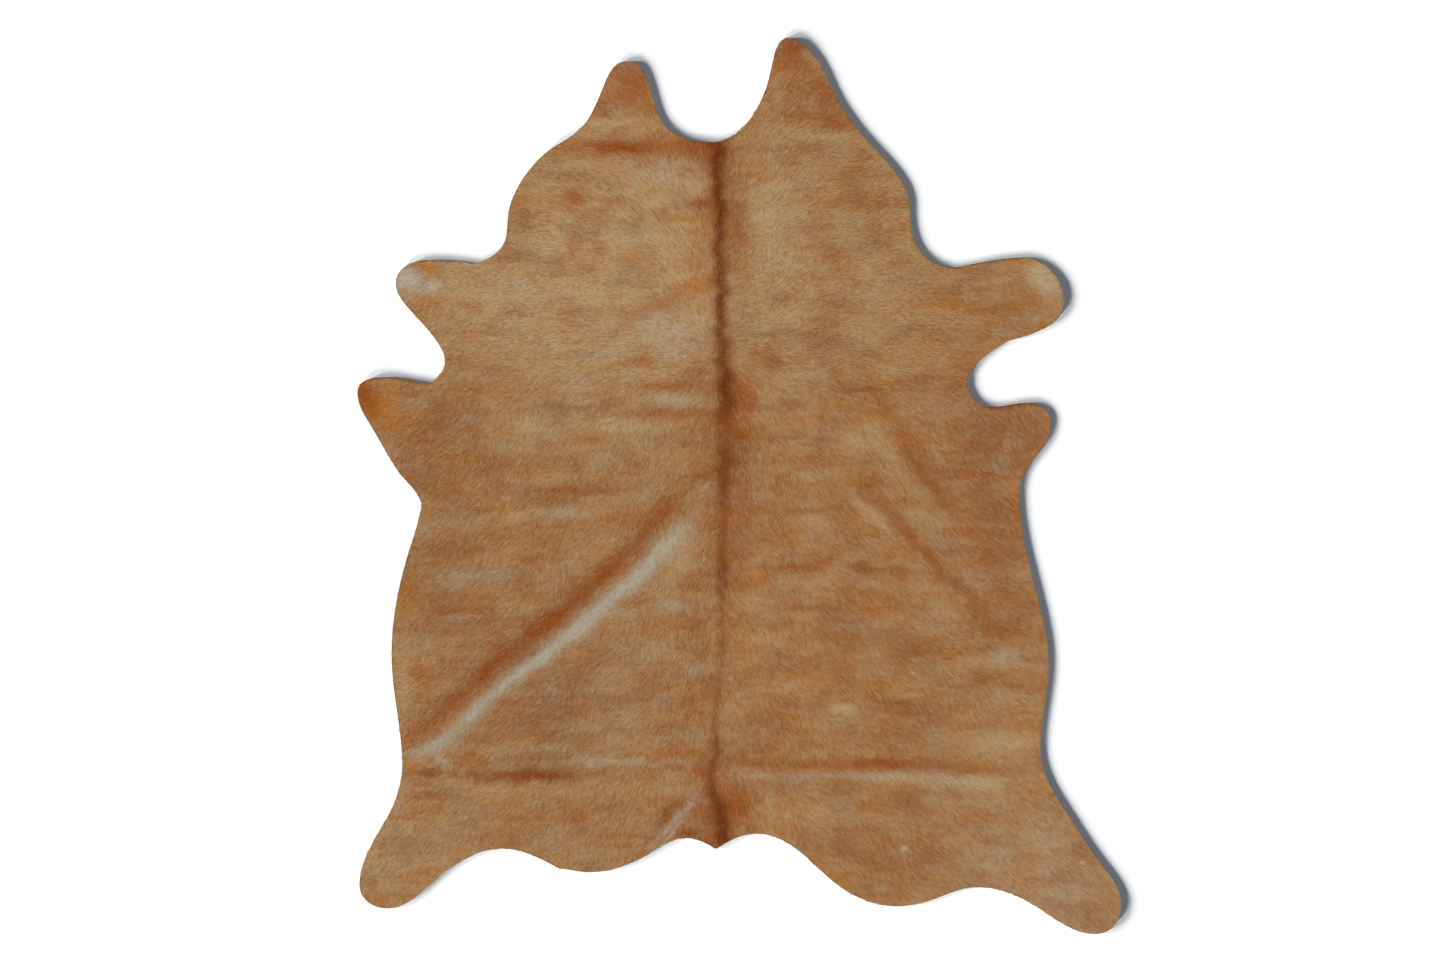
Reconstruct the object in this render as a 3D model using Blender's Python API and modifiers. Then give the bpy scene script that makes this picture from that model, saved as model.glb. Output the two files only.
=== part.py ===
"""A hair-on cowhide rug: one whole hide, cut to its natural outline, lying flat with the coat up.

The tail end is towards -Y and the neck towards +Y, as seen from above. Metres, +Z up. The origin is under
the middle of the hide's bounding box, on the floor. All sizes are laid out from two datum lines of the
hide: x runs to the right of the backbone, and y runs forward from the rear edge of the longer hind leg.
"""

import math
from collections import namedtuple

import bmesh
import bpy
from mathutils import Vector
from mathutils.geometry import delaunay_2d_cdt, interpolate_bezier

# Driving dimensions
LENGTH = 2.100  # from the longer hind leg's tip to the taller ear's tip
WIDTH = 1.790  # across the widest points of the legs
THICKNESS = 0.004  # about 2 mm of leather under 2 mm of coat, which lies down

# Fineness of the mesh
EDGE_STEP = 0.018  # longest step along the cut edge
EDGE_TURN = math.radians(12)  # largest turn from one step of the edge to the next
FIELD_STEP = 0.052  # distance between points on the flat field
FOLD_STEP = 0.030  # distance between points along a fold
FOLD_ROWS = (-1.0, -0.5, 0.0, 0.5, 1.0)  # rows of points across a fold, in parts of its reach
CLEAR_OF_EDGE = 0.014  # no point of a fold comes nearer to the cut edge or to another point
CLEAR_OF_FOLD = 0.029  # and no point of the flat field comes nearer to a fold's points or to the edge
MERGE = 1e-6  # points nearer than this count as one

TAN = (0.413, 0.205, 0.070, 1.0)

# The cut edge, clockwise from the middle of the neck. The edge passes each point at a heading in degrees,
# 0 to the right and 90 forwards, and runs to the next on one arc. A corner leaves at a heading of its own.
EdgePoint = namedtuple("EdgePoint", "place x y heading leaving", defaults=[None])
EDGE = [
    # neck and right ear
    EdgePoint("neck", -0.020, 1.855, 0),
    EdgePoint("right ear, inner foot", 0.110, 1.975, 69),
    EdgePoint("right ear, inner side", 0.135, 2.070, 72),
    EdgePoint("right ear, tip", 0.165, 2.100, 0),
    EdgePoint("right ear, outer side", 0.220, 2.065, 314),
    EdgePoint("right ear, outer foot", 0.275, 1.965, 297),
    EdgePoint("right cheek", 0.350, 1.860, 312),
    EdgePoint("right jaw", 0.430, 1.765, 302),
    EdgePoint("right throat", 0.450, 1.705, 270),
    EdgePoint("right throat, lower", 0.470, 1.605, 302),
    # right foreleg and elbow
    EdgePoint("right foreleg, root", 0.545, 1.560, 352, 10),
    EdgePoint("right foreleg, front", 0.710, 1.585, 0),
    EdgePoint("right foreleg, tip", 0.810, 1.480, 270),
    EdgePoint("right foreleg, pad", 0.775, 1.425, 211),
    EdgePoint("right foreleg, back", 0.680, 1.390, 195, 210),
    EdgePoint("right armpit, upper", 0.615, 1.345, 220),
    EdgePoint("right armpit", 0.585, 1.290, 270),
    EdgePoint("right elbow, root", 0.640, 1.235, 0),
    EdgePoint("right elbow, front", 0.725, 1.245, 0),
    EdgePoint("right elbow, tip", 0.780, 1.195, 270),
    EdgePoint("right elbow, back", 0.730, 1.100, 232),
    # right flank and hind leg
    EdgePoint("right flank", 0.705, 1.030, 270),
    EdgePoint("right belly", 0.750, 0.785, 284),
    EdgePoint("right belly, widest", 0.775, 0.630, 270),
    EdgePoint("right loin", 0.755, 0.435, 270),
    EdgePoint("right thigh", 0.800, 0.310, 303),
    EdgePoint("right hock", 0.905, 0.155, 309),
    EdgePoint("right hind leg, tip", 0.945, 0.065, 270),
    EdgePoint("right hind leg, pad", 0.885, 0.000, 180),
    EdgePoint("right hind leg, inner side", 0.745, 0.065, 147),
    EdgePoint("right buttock, hollow", 0.605, 0.110, 180),
    EdgePoint("right buttock", 0.515, 0.085, 200),
    EdgePoint("right buttock, lowest", 0.420, 0.065, 180),
    EdgePoint("right rump", 0.245, 0.145, 136),
    EdgePoint("right of the tail", 0.090, 0.235, 180),
    # tail, left rump and hind leg
    EdgePoint("tail", -0.005, 0.200, 212, 152),
    EdgePoint("left of the tail", -0.075, 0.225, 180),
    EdgePoint("left rump", -0.185, 0.175, 206),
    EdgePoint("left buttock, lowest", -0.300, 0.145, 180),
    EdgePoint("left buttock", -0.375, 0.155, 171, 152),
    EdgePoint("left buttock, hollow", -0.505, 0.200, 180),
    EdgePoint("left hind leg, inner side", -0.670, 0.120, 222),
    EdgePoint("left hind leg, pad", -0.775, 0.060, 180),
    EdgePoint("left hind leg, tip", -0.840, 0.115, 90),
    EdgePoint("left hock", -0.780, 0.265, 60),
    EdgePoint("left thigh", -0.740, 0.395, 90),
    EdgePoint("left belly, widest", -0.765, 0.655, 90),
    EdgePoint("left belly", -0.725, 0.895, 73),
    EdgePoint("left flank", -0.695, 1.005, 82, 98),
    # left elbow, foreleg and ear
    EdgePoint("left elbow, back", -0.750, 1.085, 124),
    EdgePoint("left elbow, heel", -0.825, 1.210, 122),
    EdgePoint("left elbow, tip", -0.845, 1.270, 90),
    EdgePoint("left elbow, front", -0.785, 1.305, 0),
    EdgePoint("left elbow, root", -0.675, 1.290, 354, 35),
    EdgePoint("left armpit", -0.640, 1.345, 92),
    EdgePoint("left armpit, upper", -0.660, 1.390, 124),
    EdgePoint("left foreleg, back", -0.715, 1.455, 132),
    EdgePoint("left foreleg, tip", -0.755, 1.525, 90),
    EdgePoint("left foreleg, front", -0.675, 1.580, 0),
    EdgePoint("left foreleg, root", -0.570, 1.570, 352, 23),
    EdgePoint("left throat, lower", -0.515, 1.600, 45),
    EdgePoint("left throat", -0.495, 1.645, 86),
    EdgePoint("left jaw", -0.485, 1.715, 70),
    EdgePoint("left cheek, lower", -0.410, 1.825, 42),
    EdgePoint("left cheek", -0.320, 1.890, 46),
    EdgePoint("left ear, outer side", -0.275, 1.970, 67),
    EdgePoint("left ear, tip", -0.215, 2.045, 0),
    EdgePoint("left ear, inner side", -0.160, 1.985, 288),
    EdgePoint("left ear, inner foot", -0.125, 1.895, 310),
]

# The folds that the hide keeps from having lain folded: soft ridges along a line of points, highest in the
# middle of it. Reach is half the ridge's width, and height is how far the leather lifts off the floor.
Fold = namedtuple("Fold", "place reach height line")
FOLDS = [
    Fold("back to left flank", 0.075, 0.0120, [(-0.040, 1.040), (-0.265, 0.815), (-0.690, 0.440)]),
    Fold("rump, left", 0.032, 0.0045, [(-0.755, 0.365), (-0.400, 0.375), (-0.020, 0.385)]),
    Fold("rump, right", 0.036, 0.0050, [(0.040, 0.385), (0.400, 0.385), (0.735, 0.365)]),
    Fold("shoulder to right flank", 0.070, 0.0070, [(0.310, 1.345), (0.430, 1.130), (0.600, 0.900)]),
    Fold("behind the right shoulder", 0.050, 0.0040, [(0.360, 1.040), (0.500, 0.870)]),
    Fold("behind the withers, left", 0.036, 0.0040, [(-0.420, 1.215), (-0.030, 1.235)]),
    Fold("middle of the back, left", 0.030, 0.0030, [(-0.540, 1.040), (-0.240, 1.045)]),
    Fold("across the neck, left", 0.030, 0.0035, [(-0.380, 1.845), (-0.050, 1.835)]),
    Fold("under the right ear", 0.030, 0.0035, [(0.130, 1.920), (0.280, 1.905)]),
    Fold("beside the tail", 0.016, 0.0030, [(-0.035, 0.345), (-0.130, 0.215)]),
]
FOLD_END = 0.06  # nearer than this to its ends, in parts of its length, a fold gets no lower

# Where the cut edge has curled a little off the floor: the middle of the lift, its reach and its height
Lift = namedtuple("Lift", "place x y reach height")
LIFTS = [
    Lift("left foreleg, tip", -0.755, 1.530, 0.110, 0.0050),
    Lift("left elbow, tip", -0.850, 1.265, 0.120, 0.0060),
    Lift("right ear, tip", 0.165, 2.105, 0.110, 0.0050),
    Lift("left ear, tip", -0.215, 2.050, 0.090, 0.0040),
    Lift("right foreleg, tip", 0.815, 1.480, 0.110, 0.0040),
    Lift("right hind leg, tip", 0.950, 0.035, 0.120, 0.0050),
    Lift("left hind leg, tip", -0.845, 0.085, 0.110, 0.0040),
]


def swell(share):
    """A soft bump: 1 in its middle, where share is 0, and level with the floor from share 1 on."""
    return 0.5 + 0.5 * math.cos(math.pi * min(abs(share), 1.0))


def edge_arc(start, end):
    """Points from one edge point up to the next, on a Bezier arc with the handles of a circle's arc."""
    leaving = math.radians(start.heading if start.leaving is None else start.leaving)
    arriving = math.radians(end.heading)
    turn = math.remainder(arriving - leaving, math.tau)
    first = Vector((start.x, start.y, 0.0))
    last = Vector((end.x, end.y, 0.0))
    chord = (last - first).length
    handle = chord / (3 * math.cos(turn / 4) ** 2)
    after_first = first + handle * Vector((math.cos(leaving), math.sin(leaving), 0.0))
    before_last = last - handle * Vector((math.cos(arriving), math.sin(arriving), 0.0))
    steps = max(2, math.ceil(chord / EDGE_STEP), math.ceil(abs(turn) / EDGE_TURN))
    return interpolate_bezier(first, after_first, before_last, last, steps + 1)[:-1]


def cut_edge():
    """The whole cut edge, as points clockwise."""
    return [point.xy for start, end in zip(EDGE, EDGE[1:] + EDGE[:1]) for point in edge_arc(start, end)]


def along(line):
    """Stations along a fold: each a point and the direction across the fold."""
    points = [Vector(point) for point in line]
    stations = []
    for start, end in zip(points, points[1:]):
        direction = (end - start).normalized()
        across = Vector((-direction.y, direction.x))
        steps = math.ceil((end - start).length / FOLD_STEP)
        stations += [(start.lerp(end, step / steps), across) for step in range(steps + 1)]
    return stations


def distance_to_line(point, line):
    """How far a point is from a fold's line, and how far along the line its nearest point is, 0 to 1."""
    points = [Vector(place) for place in line]
    spans = [(end - start).length for start, end in zip(points, points[1:])]
    nearest = (math.inf, 0.0)
    passed = 0.0
    for start, end, span in zip(points, points[1:], spans):
        share = min(max((point - start).dot(end - start) / span**2, 0.0), 1.0)
        distance = (point - start.lerp(end, share)).length
        nearest = min(nearest, (distance, (passed + share * span) / sum(spans)))
        passed += span
    return nearest


def underside_height(point):
    """How far the underside is off the floor at a point."""
    height = 0.0
    for fold in FOLDS:
        distance, share = distance_to_line(point, fold.line)
        taper = math.sqrt(math.sin(math.pi * min(max(share, FOLD_END), 1 - FOLD_END)))
        height = max(height, fold.height * taper * swell(distance / fold.reach))
    for lift in LIFTS:
        distance = (point - Vector((lift.x, lift.y))).length
        height = max(height, lift.height * swell(distance / lift.reach))
    return height


def inside(point, edge):
    """Whether a point lies inside the cut edge: a ray from it crosses the edge an odd number of times."""
    crossings = 0
    for start, end in zip(edge, edge[1:] + edge[:1]):
        if (start.y > point.y) != (end.y > point.y):
            at = start.x + (point.y - start.y) / (end.y - start.y) * (end.x - start.x)
            crossings += at > point.x
    return crossings % 2 == 1


def room(point, others, clearance):
    """Whether a point keeps its clearance from all the others."""
    return all((point - other).length_squared > clearance**2 for other in others)


def fold_points(edge):
    """Rows of points along each fold and across its ridge, so that the ridge comes out round."""
    points = []
    for fold in FOLDS:
        for station, across in along(fold.line):
            for row in FOLD_ROWS:
                point = station + across * row * fold.reach
                if inside(point, edge) and room(point, edge + points, CLEAR_OF_EDGE):
                    points.append(point)
    return points


def field_points(edge, folds):
    """Points in staggered rows over the rest of the hide."""
    low = Vector((min(point.x for point in edge), min(point.y for point in edge)))
    row_step = FIELD_STEP * math.sqrt(3) / 2
    points = []
    for row in range(1, int(LENGTH / row_step) + 1):
        for column in range(int(WIDTH / FIELD_STEP) + 1):
            point = low + Vector(((column + 0.5 * (row % 2)) * FIELD_STEP, row * row_step))
            if inside(point, edge) and room(point, edge + folds, CLEAR_OF_FOLD):
                points.append(point)
    return points


def hide_leather():
    """The tan coat of the hide."""
    material = bpy.data.materials.new("tan_hair_on_hide")
    material.use_nodes = True
    shader = material.node_tree.nodes["Principled BSDF"]
    shader.inputs["Base Color"].default_value = TAN
    shader.inputs["Roughness"].default_value = 0.75
    shader.inputs["Metallic"].default_value = 0.0
    return material


def hide():
    """The hide: its underside as a sheet of triangles inside the cut edge, thickened upwards."""
    edge = cut_edge()
    folds = fold_points(edge)
    flat = edge + folds + field_points(edge, folds)
    ring = [(index, (index + 1) % len(edge)) for index in range(len(edge))]
    places, _, triangles, _, _, _ = delaunay_2d_cdt(flat, ring, [], 0, MERGE, False)

    low = Vector((min(point.x for point in edge), min(point.y for point in edge)))
    middle = low + Vector((WIDTH, LENGTH)) / 2
    mesh = bpy.data.meshes.new("hide")
    sheet = bmesh.new()
    corners = [sheet.verts.new((*(place - middle), underside_height(place))) for place in places]
    for triangle in triangles:
        centre = sum((places[index] for index in triangle), Vector((0.0, 0.0))) / 3
        if not inside(centre, edge):
            continue  # it bridges a hollow of the outline
        face = sheet.faces.new([corners[index] for index in triangle])
        face.normal_update()
        if face.normal.z < 0:
            face.normal_flip()
    sheet.to_mesh(mesh)
    sheet.free()
    mesh.shade_smooth()

    piece = bpy.data.objects.new("hide", mesh)
    piece.data.materials.append(hide_leather())
    thicken = piece.modifiers.new("leather and coat", "SOLIDIFY")
    thicken.thickness = THICKNESS
    thicken.offset = 1.0  # upwards only, so that the underside lies on the floor
    thicken.use_even_offset = True
    return piece


def main():
    for old in list(bpy.data.objects):
        bpy.data.objects.remove(old)
    collection = bpy.data.collections.new("cowhide_rug")
    bpy.context.scene.collection.children.link(collection)
    collection.objects.link(hide())


main()
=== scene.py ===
"""A hair-on cowhide rug seen from straight above: the leather as a thin sheet on its folds, and its coat of
lying hair as hundreds of thousands of tapered locks that follow the way the hair grows.

Places are given on the hide itself, as in its solid: x to the right of the backbone and y forward from the
rear edge of the longer hind leg, in metres. Headings are in degrees, 0 to the right and 90 forwards.
"""

import math
from collections import namedtuple

import bmesh
import bpy
import numpy as np
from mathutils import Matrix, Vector
from mathutils.geometry import delaunay_2d_cdt
from mathutils.kdtree import KDTree


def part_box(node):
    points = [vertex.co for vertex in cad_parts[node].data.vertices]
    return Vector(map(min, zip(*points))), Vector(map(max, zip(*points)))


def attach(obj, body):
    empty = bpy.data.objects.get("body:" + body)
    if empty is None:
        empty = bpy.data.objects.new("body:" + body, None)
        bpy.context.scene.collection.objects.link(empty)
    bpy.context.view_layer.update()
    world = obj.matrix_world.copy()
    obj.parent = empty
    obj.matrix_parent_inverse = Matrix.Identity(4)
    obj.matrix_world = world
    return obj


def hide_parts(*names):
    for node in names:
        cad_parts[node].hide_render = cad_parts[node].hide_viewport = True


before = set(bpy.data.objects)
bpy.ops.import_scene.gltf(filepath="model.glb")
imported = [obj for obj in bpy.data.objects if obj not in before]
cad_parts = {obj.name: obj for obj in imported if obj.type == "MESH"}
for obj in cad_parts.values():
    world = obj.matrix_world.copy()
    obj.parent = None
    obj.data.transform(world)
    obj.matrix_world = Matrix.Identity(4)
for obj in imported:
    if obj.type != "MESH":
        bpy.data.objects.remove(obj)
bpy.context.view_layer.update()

LEFT_REACH = 0.845  # from the backbone to the tip of the left elbow
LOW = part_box("hide")[0]
DATUM = np.array([LOW.x + LEFT_REACH, LOW.y])  # the backbone at the rear edge, in the frame

MERGE = 1e-5
STEEP = 0.5  # a face whose normal rises less than this is upright

# Random swells over the hide: their usual wave lengths along x and y, and their seed
SWELLS = {
    "ripple": (0.26, 0.10, 11),
    "ragged x": (0.14, 0.05, 21),
    "ragged y": (0.10, 0.06, 22),
    "shading_waves": (0.12, 0.12, 23),
    "sway": (0.20, 0.20, 31),
    "tuft": (0.05, 0.05, 32),
}
WAVE_STRETCH = (0.6, 1.5)  # how much shorter or longer than usual a wave is

# The leather
LEATHER = 0.0022
EDGE_STEPS = 3  # steps of the finer edge for each side of the solid's edge
SHEET_STEP = 0.009
CLEAR_OF_EDGE = 0.6  # how far the sheet's inner points keep from its edge, in steps
RIPPLE = 0.0010  # how much the sheet undulates between its folds
RIPPLE_LIFT = 0.4  # how far that is lifted, in parts of it, before it is cut off at the floor
FLAT_RIM = 0.09  # how far in from its edge it lies flat
DEPTH_STEP = 0.005
DEPTH_MARGIN = 0.03
LAST_CELL = 1.001  # a place stays so far inside the grid's last point, in steps
PICTURE_SHARE = 0.97  # how much of the leather's baked picture its top and underside fill
RIM_SHARE = 0.98  # where the rim's strip starts

# The coat
CLUMP_STEP = 0.0062  # distance between clumps of hair
CLUMP_STRAY = 0.5  # how far a clump strays from its place, in parts of that
LOCKS = 5  # locks in a clump
LOCK_LENGTH = (0.015, 0.026)
LOCK_SHARE = (0.75, 1.1)  # a lock's length, in parts of its clump's
LOCK_WIDTH = (0.0012, 0.0024)
LOCK_SPREAD = 0.0040  # how far a clump's roots lie from its middle
LOCK_GATHER = 0.60  # how far the tips lie from the clump's tip, in parts of that
LOCK_HEIGHT = (0.0008, 0.0019)  # tips above the leather
LOCK_DROP = 0.0003  # a lock's sides lie this much lower than its middle line
WIDEST_AT = 0.42  # where a lock is widest, in parts of its length
ROOT_HEIGHT = 0.0002
ROOM_AT_EDGE = 0.0005  # how far from the cut edge hair is rooted
OVERHANG = 0.0030  # how far the coat reaches past the cut edge
SHORTER = (0.8, 0.8, 0.8, 0.75, 0.75, 0.7)  # how a lock that would reach too far is cut down
# how much the coat's direction wanders, in degrees: over the hide, from tuft to tuft and from clump to clump
SWAY = 8.0
TUFT_SWAY = 5.0
CLUMP_SWAY = 4.0
MANE_SWAY = 22.0  # how much more it wanders from lock to lock on the backbone, where it parts
MANE_REACH = 0.022
CLUMP_TONE = 0.60  # how much of a lock's own tone it shares with its clump
COLOUR_FROM = (0.30, 0.55, 0.80)  # where along a lock its root, sides and tip take their colour
BANDS = ("rear", "middle", "front")
SEED = 7

# Folds as in the solid, a few on finer lines. Shade is how strong the painted shade is on the right of the
# line as it runs, and light how strong the painted light is on the left of it.
Fold = namedtuple("Fold", "place reach height shade light line")
FOLDS = [Fold(*row) for row in (
    ("back to left flank", 0.075, 0.012, 0.92, 1.12, [
        (-0.04, 1.04), (-0.211, 0.855), (-0.359, 0.726), (-0.511, 0.612), (-0.652, 0.485), (-0.703, 0.45),
    ]),
    ("rump, left", 0.032, 0.0045, 0.0, 0.0, [(-0.02, 0.385), (-0.4, 0.375), (-0.74, 0.367)]),
    ("rump, right", 0.036, 0.005, 0.55, 0.48, [(0.7, 0.367), (0.4, 0.385), (0.04, 0.385)]),
    ("shoulder to right flank", 0.07, 0.007, 0.45, 0.0, [(0.6, 0.9), (0.43, 1.13), (0.31, 1.345)]),
    ("behind the right shoulder", 0.05, 0.004, 0.6, 0.0, [(0.492, 0.862), (0.352, 1.032)]),
    ("behind the withers, left", 0.036, 0.004, 0.0, 0.0, [(-0.03, 1.235), (-0.42, 1.215)]),
    ("middle of the back, left", 0.03, 0.003, 0.0, 0.0, [(-0.24, 1.045), (-0.54, 1.04)]),
    ("across the neck, left", 0.03, 0.0035, 0.0, 0.0, [(-0.05, 1.835), (-0.38, 1.845)]),
    ("under the right ear", 0.03, 0.0035, 0.0, 0.0, [(0.28, 1.905), (0.13, 1.92)]),
    ("beside the tail", 0.016, 0.003, 0.4, 0.9, [(-0.035, 0.345), (-0.13, 0.215)]),
)]
FOLD_END = 0.06  # nearer than this to its ends, in parts of its length, a fold gets no lower

# A fold's painted shade, on its right, and its painted light: how far off and how wide, in parts of its
# reach. Along the line the painted shade comes nearer, and the painted light narrows and wanes.
SHADE_AT = 0.42
SHADE_NEARER = 0.15
SHADE_WIDTH = 0.34
LIGHT_AT = 0.38
LIGHT_WIDTH = 0.34
LIGHT_NARROWS = 0.14
LIGHT_WANES = 0.05
LIGHT_SETS_IN = 0.12  # the length over which the pale side sets in
# The painted shade and light on each fold wax and wane along it by this much
SHADING_WOBBLE = 0.10  # how unevenly both sides show

# Tips that lift a little, less than in the solid
Lift = namedtuple("Lift", "place x y reach height")
LIFTS = [Lift(*row) for row in (
    ("left foreleg, tip", -0.755, 1.53, 0.11, 0.0015),
    ("left elbow, tip", -0.85, 1.265, 0.12, 0.0015),
    ("right ear, tip", 0.165, 2.105, 0.11, 0.0008),
    ("left ear, tip", -0.215, 2.05, 0.09, 0.0008),
    ("right foreleg, tip", 0.815, 1.48, 0.11, 0.0008),
    ("right hind leg, tip", 0.95, 0.035, 0.12, 0.0008),
    ("left hind leg, tip", -0.845, 0.085, 0.11, 0.0015),
)]

# Which way the hair lies on the right side, by how far forward and how far from the backbone. The left side
# mirrors it.
STREAM_AT = (0.00, 0.07, 0.30, 0.70)
Stream = namedtuple("Stream", "place y headings")
STREAMS = [Stream(*row) for row in (
    ("tail end", 0.05, (-88, -70, -50, -44)),
    ("rump", 0.35, (-88, -68, -50, -44)),
    ("loin", 0.65, (-88, -62, -44, -34)),
    ("back", 0.95, (-88, -62, -48, -42)),
    ("ribs", 1.1, (-88, -66, -56, -46)),
    ("behind the withers", 1.22, (-86, -62, -46, -38)),
    ("withers", 1.31, (-60, -18, -24, -30)),
    ("whorl", 1.37, (20, 4, 0, -28)),
    ("shoulders", 1.45, (80, 38, 12, -26)),
    ("throat", 1.6, (86, 58, 18, -8)),
    ("neck", 1.82, (88, 66, 20, 5)),
    ("ears", 2.1, (90, 74, 55, 40)),
)]

# The coat's colours, as they look in daylight. Beige, grey and silver stand partly for paler hair and partly
# for painted sheen; grey also paints the light on the pale side of each fold.
COLOURS = {
    "tan": (175, 128, 80),
    "beige": (194, 165, 121),
    "grey": (184, 173, 151),
    "white": (202, 192, 176),
    "gold": (190, 120, 46),
    "mauve": (152, 112, 84),
    "rust": (156, 80, 28),
    "umber": (144, 76, 32),
    "russet": (162, 84, 22),
    "silver": (188, 178, 156),
    "brown": (152, 94, 54),
    "dark": (112, 50, 12),
    "suede": (196, 170, 138),
    "pale suede": (214, 196, 170),
}
RAGGED = 0.003  # how far the edges of the coat's patches wander
BOLD = 1.2  # how much stronger every patch is than its row says
PATCH_FADE = 1.1  # how soon a patch fades away from its middle
PATCH_EDGE = 1.2  # how distinct its edge is

# The coat's mottle, broad to fine: where its noise starts, its lumps to the metre along x and y, its levels
# where the coat is darkest and palest, and with which colours and how much. The band mottle is partly the
# coat's own colour and partly painted shade and sheen where the hair lies in waves.
Mottle = namedtuple("Mottle", "name start lumps detail roughness low high darker paler")
MOTTLES = [Mottle(*row) for row in (
    ("warmth", (3.0, 5.0), (9.0, 16.0), 3.0, 0.5, 0.34, 0.66, ("mauve", 0.43), ("gold", 0.38)),
    ("band", (0.0, 0.0), (5.0, 20.0), 4.0, 0.6, 0.34, 0.66, ("rust", 0.30), ("beige", 0.30)),
    ("blotch", (0.0, 0.0), (11.0, 15.0), 4.0, 0.6, 0.34, 0.66, ("rust", 0.31), ("grey", 0.22)),
    ("fleck", (0.0, 0.0), (42.0, 60.0), 3.0, 0.6, 0.30, 0.72, ("rust", 0.14), ("beige", 0.20)),
)]
MIDDLE = 0.5  # the level of noise at which the mottle leaves the coat as it is
NOISE_RANGE = (0.3, 0.7)  # the levels that most of a noise lies between

# A lock's own tone: with what it darkens or pales the lock, how much, and from which tone on in full
DARK_LOCK = ("rust", 0.50)
PALE_LOCK = ("beige", 0.45)
TONE_REACH = 2.2
PLAIN_FROM = 0.8  # how plain a coat is that shows all of it
LEAST_MIXED = 0.4  # how much of it the strongest patch shows
# A lock's root is darker partly as painted shade where other locks cover it, and partly as the hair's own tone
ROOT_TO_TIP = (0.90, 1.06)  # how light a lock is at its root and its tip
HAIR_ROUGHNESS = (0.52, 0.70)
HAIR_SHINE = 0.10
SHINE_TINT = (1.0, 0.72, 0.45, 1.0)
# Painted shade: the leather between the hairs is darkened for the shade that the locks cast on it
IN_SHADE = 0.82  # how light the leather between the hairs is

# The suede: lumps to the metre of its blotches and its nap
SUEDE_BLOTCHES = 6.0
SUEDE_NAP = 700.0
SUEDE_STOPS = (0.30, 0.72)  # the levels of noise at which it is darkest and palest
SUEDE_ROUGHNESS = (0.80, 0.95)
NAP_HEIGHT = 0.0006

# The dark stripe down the backbone: its ends, then its middle, the widths of its core and of its rusty skirt
# on the left and right, and how strong core and skirt are
STRIPE_LOW = 0.17
STRIPE_HIGH = 1.90
STRIPE_FADE = 0.05
Stripe = namedtuple("Stripe", "y x core left right core_depth skirt_depth")
STRIPES = [Stripe(*row) for row in (
    (0.244, 0.012, 0.024, 0.065, 0.03, 0.95, 0.85),
    (0.302, 0.0, 0.018, 0.056, 0.075, 0.85, 0.95),
    (0.361, -0.016, 0.014, 0.028, 0.05, 0.7, 0.5),
    (0.431, -0.008, 0.011, 0.045, 0.04, 0.6, 0.55),
    (0.502, -0.008, 0.007, 0.014, 0.014, 0.35, 0.35),
    (0.572, -0.003, 0.008, 0.02, 0.025, 0.3, 0.35),
    (0.642, 0.007, 0.01, 0.015, 0.015, 0.25, 0.4),
    (0.712, 0.01, 0.008, 0.015, 0.02, 0.35, 0.35),
    (0.783, 0.009, 0.008, 0.018, 0.022, 0.45, 0.35),
    (0.853, 0.008, 0.015, 0.034, 0.052, 0.8, 0.65),
    (0.912, 0.01, 0.01, 0.03, 0.058, 0.45, 0.6),
    (0.97, 0.012, 0.016, 0.04, 0.056, 0.35, 0.6),
    (1.041, 0.012, 0.015, 0.036, 0.062, 0.65, 0.72),
    (1.111, 0.018, 0.02, 0.046, 0.056, 0.8, 0.7),
    (1.181, 0.018, 0.018, 0.056, 0.06, 0.45, 0.65),
    (1.24, 0.018, 0.02, 0.038, 0.056, 0.95, 0.75),
    (1.298, 0.022, 0.023, 0.032, 0.046, 1.0, 0.7),
    (1.357, 0.012, 0.015, 0.04, 0.026, 0.7, 0.65),
    (1.416, 0.008, 0.016, 0.022, 0.02, 0.75, 0.6),
    (1.474, 0.01, 0.017, 0.02, 0.018, 0.9, 0.55),
    (1.533, 0.006, 0.014, 0.03, 0.02, 0.75, 0.7),
    (1.591, 0.006, 0.014, 0.026, 0.04, 0.75, 0.75),
    (1.65, 0.005, 0.017, 0.038, 0.056, 0.85, 0.8),
    (1.709, 0.002, 0.014, 0.054, 0.052, 0.9, 0.85),
    (1.767, 0.002, 0.016, 0.022, 0.042, 1.0, 0.7),
    (1.826, -0.004, 0.026, 0.062, 0.038, 0.95, 0.85),
)]

# Patches of colour in the coat: soft ovals with their half lengths along and across a heading, which is 0 if
# none is given. The sign of x says on which side of the backbone one lies. The pale ones are partly painted
# sheen, and those along folds and creases are painted shade and painted light.
Patch = namedtuple("Patch", "place x y along across colour strength heading", defaults=(0,))
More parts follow.
